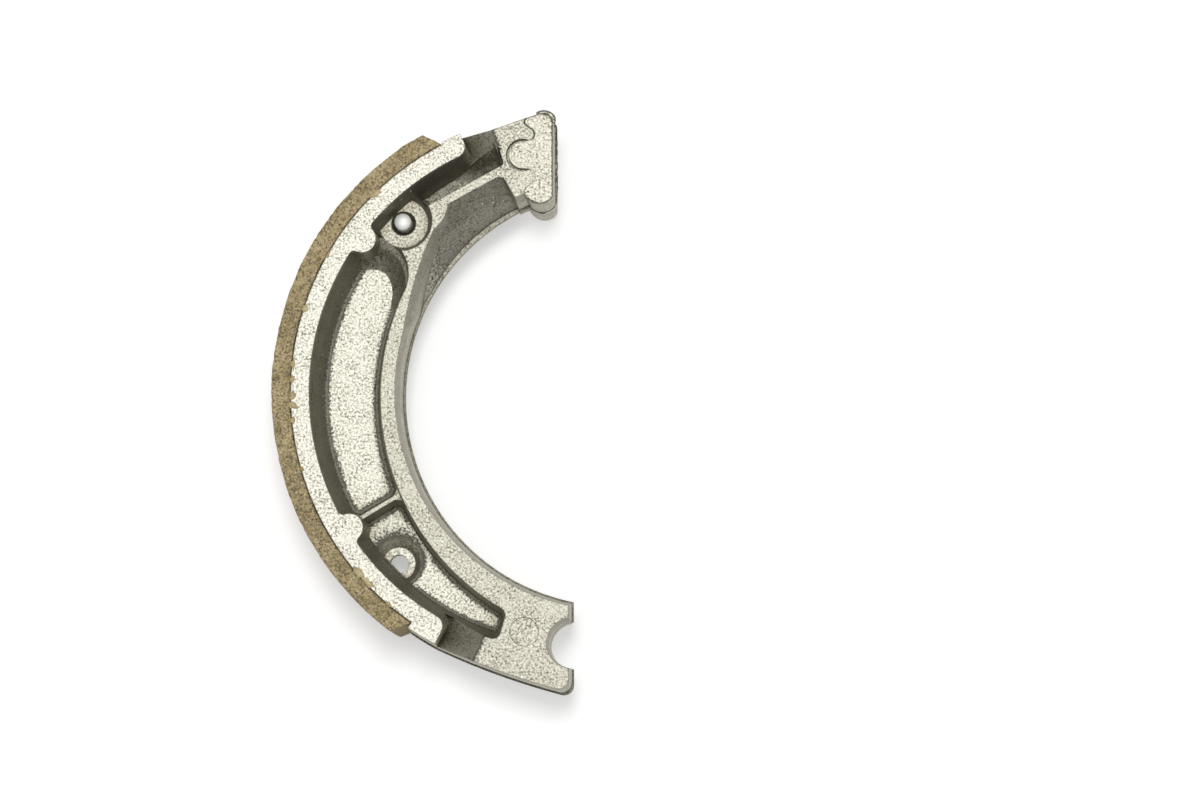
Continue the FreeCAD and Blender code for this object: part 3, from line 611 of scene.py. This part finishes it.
def pocketBlock(look):
    # Radius, angle and share of the height at each shell point of a block bent round the drum's axis. Its
    # inner radius changes evenly from one end to the other.
    places, faces = boxShell(look["steps"])
    across, along, up = (places / np.array(look["steps"])).T
    angle = look["angles"][0] + (look["angles"][1] - look["angles"][0]) * along
    inner = look["innerRadius"][0] + (look["innerRadius"][1] - look["innerRadius"][0]) * along
    radius = inner + (look["outerRadius"] - inner) * across
    return radius, angle, up, faces


# Uneven metal over the floor of the cam end's pocket, raised beside the ramp, so that the ramp runs down into
# the pocket without an edge. It covers the whole floor, so that the pockets' painted shade lies over it.
# Angles are in degrees from the ramp's top edge, and the rest in millimetres.
rampFill = {
    "topEdge": 106.0,                   # its angle about the drum's axis
    "angles": (0.6, 21.2), "innerRadius": (51.2, 51.2), "outerRadius": 57.2, "steps": (40, 130, 1),
    "base": 2.8, "floor": 3.6,          # heights of the underside and of the lowest top
    "rise": 5.0, "riseAngle": 10.0,     # of the floor at the top edge, and the angle over which it fades
    "foot": (52.6, 56.6),               # radii between which it eases up to the ramp
    "land": 12.0, "perDegree": 0.7,     # the ramp's height at its top edge, and its fall
    "under": 0.12,                      # how far the metal stays below the ramp, and below the land
    "belowLand": 0.1,
    "rib": 3.0, "ribReach": 1.6,        # height and reach of the rounding up to the rib
    "end": 3.2, "endReach": 1.9,        # and to the pocket's end, its reach in degrees
    "grain": (1.3, 81, 3), "grainHeight": 0.12,     # cell, seed and layers of the noise, and its height
    "calm": 0.5,                        # width beside the ramp over which the noise fades
}


def fillSurface(look):
    # The block's top follows the pocket's floor, raised towards the ramp's top edge, and eases up across the
    # radii of its foot to just under the ramp, which falls in proportion to the angle until it meets the
    # floor. Squares of the distance round it up to the rib and to the pocket's end, and noise unsettles it.
    radius, away, up, faces = pocketBlock(look)
    rising = 1 - eased(away / look["riseAngle"])
    floorHeight = look["floor"] + look["rise"] * rising
    rampHeight = np.maximum(look["land"] - look["perDegree"] * away - look["under"], look["floor"])
    across = eased((radius - look["foot"][0]) / (look["foot"][1] - look["foot"][0]))
    top = floorHeight + (rampHeight - floorHeight) * across
    toRib = 1 - (radius - look["innerRadius"][0]) / look["ribReach"]
    top += look["rib"] * rising * np.clip(toRib, 0, 1) ** 2
    top += look["end"] * np.clip((look["endReach"] - away) / look["endReach"], 0, 1) ** 2
    inside = np.clip((look["foot"][1] - look["calm"] - radius) / look["calm"], 0, 1)
    spots = onDrum(radius, look["topEdge"] + away, 0.0)
    top += look["grainHeight"] * inside * layeredNoise(spots, *look["grain"])
    top = np.minimum(top, look["land"] - look["belowLand"])
    return onDrum(radius, look["topEdge"] + away, look["base"] + (top - look["base"]) * up), faces


# its skin darkens the pocket's floor as painted shade
fillPiece = newPiece("camRampFill", *fillSurface(rampFill), pocketShadedSkin)
print("ramp fill made")


# The slope at the main pocket's cam end, which runs down from the pin boss to the round end of the floor, in
# millimetres and degrees
pocketSlope = {
    "angles": (139.6, 157.0), "innerRadius": (45.6, 39.0), "outerRadius": 56.5, "steps": (70, 90, 1),
    "base": 2.8, "floor": 3.3, "highest": 7.5,      # heights of the underside, the lowest and the highest top
    "endRadius": 49.9, "endAngle": 155.0,   # middle of the ellipse of the floor's end, and its half axes
    "endReach": (5.2, 7.3),
    "rise": 7.0, "ease": 0.05,              # steepness outside the ellipse, and its softness there
    "fade": 6.0,                            # angle over which the slope fades at its low end
    "grain": (1.3, 91, 3), "grainHeight": 0.12,     # cell, seed and layers of the noise, and its height
}


def slopeSurface(look):
    # The block's top stays below the floor inside an ellipse and rises outside it, as
    # rise (b + sqrt(b^2 + ease^2)) / 2 with b the distance beyond the ellipse in half axes.
    radius, angle, up, faces = pocketBlock(look)
    across = (radius - look["endRadius"]) / look["endReach"][0]
    along = np.radians(look["endAngle"] - angle) * look["endRadius"] / look["endReach"][1]
    beyond = np.hypot(across, along) - 1
    rise = look["rise"] * (beyond + np.hypot(beyond, look["ease"])) / 2
    rise *= eased((look["angles"][1] - angle) / look["fade"])
    spots = onDrum(radius, angle, 0.0)
    rise += look["grainHeight"] * np.clip(rise, 0, 1) * layeredNoise(spots, *look["grain"])
    top = np.minimum(look["floor"] + rise, look["highest"])
    return onDrum(radius, angle, look["base"] + (top - look["base"]) * up), faces


# its skin is the pockets' painted light and shade
slopePiece = newPiece("mainPocketSlope", *slopeSurface(pocketSlope), pocketShadedSkin)
print("pocket slope made")


# Pale painted floor under an even sky. The floor's lift is a glow that shows to the camera and in gloss, and
# lights nothing.
stageLook = {"floor": "#eaeaea", "lift": 0.42, "sizeM": 40.0, "world": 0.3}
white = linearColour("#ffffff")


def paleFloor(look):
    # a flat square under the lowest face of the shoe
    half = look["sizeM"] / 2
    corners = [(x * half, y * half, cadLow.z) for x, y in ((-1, -1), (1, -1), (1, 1), (-1, 1))]
    mesh = bpy.data.meshes.new("floor")
    mesh.from_pydata(corners, [], [(0, 1, 2, 3)])
    material = bpy.data.materials.new("paleFloorPaint")
    tree = emptyTree(material)
    paint = addNode(tree, "ShaderNodeBsdfDiffuse", {"Color": linearColour(look["floor"])})
    rays = addNode(tree, "ShaderNodeLightPath")
    seen = rays.outputs["Is Camera Ray"]
    for kind in ("Is Glossy Ray", "Is Transmission Ray"):
        seen = addNode(tree, "ShaderNodeMath", {0: seen, 1: rays.outputs[kind]}, operation="MAXIMUM")
    lift = addNode(tree, "ShaderNodeMath", {0: seen, 1: look["lift"]}, operation="MULTIPLY")
    glow = addNode(tree, "ShaderNodeEmission", {"Color": white, "Strength": lift})
    both = addNode(tree, "ShaderNodeAddShader", {0: paint, 1: glow})
    addNode(tree, "ShaderNodeOutputMaterial", {"Surface": both})
    mesh.materials.append(material)
    return newObject("floor", mesh)


def studioWorld(look):
    world = bpy.data.worlds.new("studio")
    tree = emptyTree(world)
    sky = addNode(tree, "ShaderNodeBackground", {"Color": white, "Strength": look["world"]})
    addNode(tree, "ShaderNodeOutputWorld", {"Surface": sky})
    bpy.context.scene.world = world


# Two soft boxes, in metres and watts, which face a point in the shoe's middle
lamps = {
    "keySoftBox": {"place": (0.02, 0.24, 1.22), "size": (0.26, 0.26), "power": 4.85},
    "overheadSoftBox": {"place": (-0.03, 0.1, 1.25), "size": (0.5, 0.5), "power": 2.9},
}
lampAim = (-0.03, 0.05, 0)


def softBox(name, look):
    lamp = bpy.data.lights.new(name, "AREA")
    lamp.shape = "RECTANGLE"
    lamp.size, lamp.size_y = look["size"]
    lamp.energy = look["power"]
    holder = newObject(name, lamp)
    holder.location = look["place"]
    holder.rotation_euler = (Vector(lampAim) - Vector(look["place"])).to_track_quat("-Z", "Y").to_euler()


# Place, aim and clipping in metres, roll in radians, lens and sensor in millimetres
cameraLook = {"place": (0.03374, -0.04172, 0.865), "aim": (0.00633, 0.05234, 0.014), "roll": 0.0041,
              "lens": 118.98, "sensor": 36, "clip": (0.01, 100)}


def photographersCamera(look):
    # looks at a point, with the picture's top towards +Y, turned by a small roll
    camera = newObject("camera", bpy.data.cameras.new("camera"))
    place, aim = Vector(look["place"]), Vector(look["aim"])
    forward = (aim - place).normalized()
    top = Vector((math.sin(look["roll"]), math.cos(look["roll"]), 0))
    right = forward.cross(top).normalized()
    above = right.cross(forward)
    camera.location = place
    camera.rotation_euler = Matrix([right, above, -forward]).transposed().to_euler()
    camera.data.lens = look["lens"]
    camera.data.sensor_width = look["sensor"]
    camera.data.clip_start, camera.data.clip_end = look["clip"]
    bpy.context.scene.camera = camera


paleFloor(stageLook)
studioWorld(stageLook)
for name, look in lamps.items():
    softBox(name, look)
photographersCamera(cameraLook)
bpy.context.scene.view_settings.view_transform = "Standard"
print("stage set")
